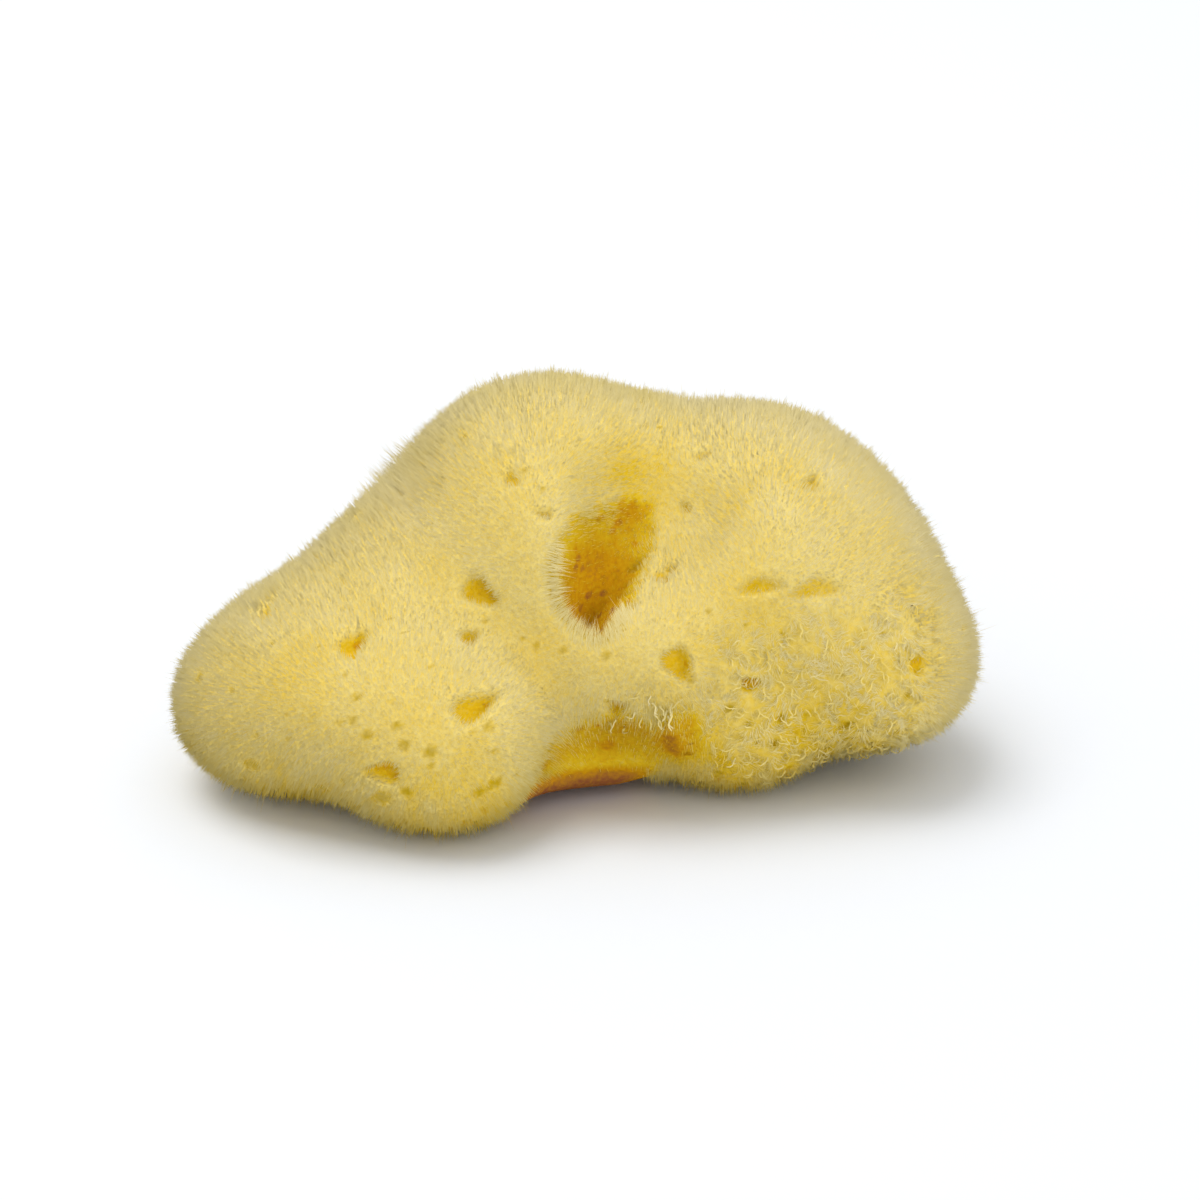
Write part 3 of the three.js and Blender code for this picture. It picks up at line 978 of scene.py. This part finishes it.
class SPONGE_OT_tufts(bpy.types.Operator):
    """Makes the upright fibres, gathered in tufts, one piece for each side of the sponge; they are so fine
    that they let light through, and only those under the sponge throw a shadow"""

    bl_idname = "sponge.tufts"
    bl_label = "Tufts"

    def execute(self, context):
        bed = context.scene.sponge_skin
        settings = context.scene.sponge_tufts
        skin = grow_skin(bed.divisions, bed.bed / MM)
        weight = fibre_weight(skin)
        places, shades = TUFT_SALTS
        for face, name in enumerate(FACE_NAMES):
            rng = np.random.default_rng(TUFT_SEED + face)
            at = scatter_roots(skin, face, weight, settings.per_mm2, rng)
            pore = pore_reach(at(skin.points))
            kept = pore > PORE_EDGE
            root, normal, smooth, deep, rim, mat = (
                at(value)[kept]
                for value in (skin.points, skin.normal, skin.smooth, skin.deep, skin.rim, skin.mat)
            )
            mat, near_pore = mat[:, None], between(1.6, 1.0, pore[kept])
            inward = unit(skin.crater - root)
            normal = unit(unit(normal) + RIM_LEAN * rim[:, None] * inward)
            # Painted shade: fibres darker round the small pores, and golder in the patchy gaps of the
            # mats, partly their own colour there
            patchy = mat[:, 0] * between(0.3, -0.7, slow_waves(root, *MAT_WAVES))
            shade = fibre_shade(root, deep * (1 - rim)) - FIBRE.pore * near_pore - FIBRE.mat * patchy
            count = len(root)
            owner, gap = nearest_seed(root, settings.spacing / MM, places)
            # Each tuft gets a random tone of its own, and painted shade at its edge, between the tufts,
            # most on the low front
            grain = 0.08 + 0.57 * between(26, 10, root[:, 2]) * between(10, -5, root[:, 1])
            edge = between(0.25, 0.6, gap * MM / settings.spacing)
            shade += grain * (0.12 * (scattered(owner, shades)[:, 1] - 0.5) - 0.1 * (edge - 0.4))
            _, tuft = np.unique(owner @ np.array([1, 1009, 1018081]), return_inverse=True)
            members = np.bincount(tuft)
            middle = np.stack([np.bincount(tuft, root[:, k]) / members for k in range(3)], -1)[tuft]
            upright = unit(np.stack([np.bincount(tuft, normal[:, k]) for k in range(3)], -1))
            lean = unit(upright + settings.lean * rng.normal(size=upright.shape))[tuft]
            tall = rng.choice(TALL, len(members), p=TALL_SHARES)[tuft]
            shag = bell(root, SHAG, SHAG_SPREAD)[:, None]
            wisp = rng.random((count, 1)) < settings.wisps + 0.35 * shag
            length = settings.length / MM * tall * rng.uniform(0.7, 1.2, count)
            length = length * (1 - 0.6 * deep * (1 - rim)) * (1 + 0.9 * rim) * (1 - 0.4 * near_pore)
            length = length[:, None] * ((1 + 0.6 * wisp) * (1 + 0.2 * mat) * (1 + 1.3 * shag))
            stray = rng.normal(size=(count, 3)) * STRAY * length
            lying = LYING * mat * swirl(root, normal)
            free = root + (normal * (1 - 0.6 * mat) + lying) * length + stray
            gathered = middle + lean * length
            share = settings.gather * rng.uniform(0.6, 1.3, (count, 1)) * (1 - wisp) * (1 - 0.8 * mat)
            tip = free + share * (gathered - free)
            path = np.stack([root - ROOT_SUNK * normal, tip], 1)
            radius = settings.radius / MM * rng.uniform(0.75, 1.25, (count, 1)) * (1 - 0.35 * wisp)
            uneven = 0.014 + 0.024 * mat[:, 0] + 0.016 * between(16, 5, root[:, 2])
            shade = np.clip(shade + uneven * rng.normal(size=count), 0, 1)
            lit = unit(smooth)
            lit[:, 2] += 0.25 * between(0.5, -0.7, lit[:, 2]) - 0.25 * between(11, 3, root[:, 2])
            piece = make_fibres("tufts_" + name, path, radius, unit(lit), shade, rng, fibre_material())
            piece.visible_shadow = name == "under"
        return {"FINISHED"}


class SPONGE_OT_threads(bpy.types.Operator):
    """Makes the curly threads matted over the right end, and those that hang over the notch"""

    bl_idname = "sponge.threads"
    bl_label = "Threads"

    def execute(self, context):
        bed = context.scene.sponge_skin
        settings = context.scene.sponge_threads
        skin = grow_skin(bed.divisions, bed.bed / MM)
        brow = sum(bell(skin.points, middle, spread) for middle, spread in BUNCHES)
        weight = np.maximum(MAT_THREADS * skin.mat**2 * (1 - skin.bare), brow) * (1 - skin.rust)
        room = (skin.area * weight[skin.quads].mean(-1)).sum((1, 2))
        parts = []
        rng = np.random.default_rng(THREAD_SEED)
        for face in np.flatnonzero(room >= LEAST_AREA):
            at = scatter_roots(skin, face, weight, settings.per_mm2, rng)
            parts.append((at(skin.points), unit(at(skin.normal)), between(0.1, 0.5, at(brow))))
        root, normal, hanging = (np.concatenate(part) for part in zip(*parts))
        count, stations = len(root), THREAD_POINTS
        down = unit(np.array([0.0, 0.0, -1.0]) + normal * normal[:, 2:])
        across = np.cross(normal, down)
        t = np.linspace(0, 1, stations)
        length = settings.length / MM * rng.uniform(0.6, 1.4, (count, 1)) * (1 + 0.6 * hanging[:, None])
        turn = settings.curl * rng.normal(0, 1, (count, 1)) * (1 - 0.5 * hanging[:, None])
        start = rng.uniform(-np.pi, np.pi, (count, 1)) * (1 - 0.8 * hanging[:, None])
        wobble = rng.uniform(0.2, 0.7, (count, 1)) * np.sin(2 * np.pi * (1.3 * t + rng.random((count, 1))))
        heading = start + turn * t + wobble
        step = length / (stations - 1)
        flow = np.cos(heading)[..., None] * down[:, None] + np.sin(heading)[..., None] * across[:, None]
        drift = np.cumsum(flow * step[..., None], 1) - flow[:, :1] * step[..., None]
        top = rng.uniform(0.55, 1.15, (count, 1))
        height = top * np.sin(np.pi * (0.12 + 0.75 * t)) ** 0.7
        path = root[:, None] + drift + height[..., None] * normal[:, None]
        radius = settings.radius / MM * rng.uniform(0.8, 1.2, (count, 1)) * (1 - 0.45 * t[:-1])
        radius *= 1 + 0.5 * hanging[:, None]
        shade = THREAD.shade + THREAD.hanging * hanging + rng.normal(0, THREAD.uneven, count)
        make_fibres("threads", path, radius, normal, np.clip(shade, 0, 1), rng, fibre_material())
        return {"FINISHED"}


class SPONGE_OT_stage(bpy.types.Operator):
    """Makes the white floor, the lights and the camera"""

    bl_idname = "sponge.stage"
    bl_label = "Stage"

    def execute(self, context):
        scene, settings = context.scene, context.scene.sponge_stage
        half = settings.floor_size / 2
        mesh = bpy.data.meshes.new("floor")
        corners = [(-half, -half, 0), (half, -half, 0), (half, half, 0), (-half, half, 0)]
        mesh.from_pydata(corners, [], [(0, 1, 2, 3)])
        paper, _, shader = new_material("white_paper")
        shader.inputs["Base Color"].default_value = PAPER
        mesh.materials.append(paper)
        floor = bpy.data.objects.new("floor", mesh)
        scene.collection.objects.link(floor)
        world = bpy.data.worlds.new("white_studio")
        world.use_nodes = True
        sky = world.node_tree.nodes["Background"]
        sky.inputs["Color"].default_value = (1, 1, 1, 1)
        sky.inputs["Strength"].default_value = settings.sky
        scene.world = world
        soft_lamp("key", *KEY_LAMP, settings.key_power)
        pieces = [piece for piece in scene.objects if piece.type == "MESH" and piece != floor]
        soft_lamp("front", *FRONT_LAMP, settings.front_power, pieces)
        soft_lamp("back", *BACK_LAMP, settings.back_power, pieces)
        camera = bpy.data.cameras.new("camera")
        camera.sensor_width = SENSOR
        camera.lens = camera.sensor_width * settings.distance / settings.frame_width
        eye = bpy.data.objects.new("camera", camera)
        target = (TARGET + SHIFT) * MM
        back = np.array([0, -math.cos(settings.elevation), math.sin(settings.elevation)])
        eye.location = target + settings.distance * back
        eye.rotation_euler = (math.pi / 2 - settings.elevation, 0, 0)
        scene.collection.objects.link(eye)
        scene.camera = eye
        scene.view_settings.view_transform = "Standard"
        return {"FINISHED"}


class SPONGE_PT_panel(bpy.types.Panel):
    """Lists the sponge's pieces and their settings"""

    bl_idname = "SPONGE_PT_panel"
    bl_label = "Silk sponge"
    bl_space_type = "VIEW_3D"
    bl_region_type = "UI"
    bl_category = "Sponge"

    def draw(self, context):
        for name, group, operator in PANEL_ROWS:
            box = self.layout.box()
            box.label(text=name)
            settings = getattr(context.scene, group)
            for key in settings.bl_rna.properties.keys():
                if key not in ("rna_type", "name"):
                    box.prop(settings, key)
            if operator:
                box.operator(operator)


GROUPS = {
    "sponge_colours": SpongeColours,
    "sponge_skin": SpongeSkin,
    "sponge_tufts": SpongeTufts,
    "sponge_threads": SpongeThreads,
    "sponge_stage": SpongeStage,
}
PANEL_ROWS = (
    ("Colours", "sponge_colours", None),
    ("Skin", "sponge_skin", "sponge.skin"),
    ("Tufts", "sponge_tufts", "sponge.tufts"),
    ("Threads", "sponge_threads", "sponge.threads"),
    ("Stage", "sponge_stage", "sponge.stage"),
)
OPERATORS = (SPONGE_OT_skin, SPONGE_OT_tufts, SPONGE_OT_threads, SPONGE_OT_stage)


def register():
    for group in (*GROUPS.values(), *OPERATORS, SPONGE_PT_panel):
        bpy.utils.register_class(group)
    for name, group in GROUPS.items():
        setattr(bpy.types.Scene, name, bpy.props.PointerProperty(type=group))


def unregister():
    for name in GROUPS:
        delattr(bpy.types.Scene, name)
    for group in reversed((*GROUPS.values(), *OPERATORS, SPONGE_PT_panel)):
        bpy.utils.unregister_class(group)


def main():
    register()
    bpy.ops.sponge.skin()
    bpy.ops.sponge.tufts()
    bpy.ops.sponge.threads()
    bpy.ops.sponge.stage()


if __name__ == "__main__":
    main()
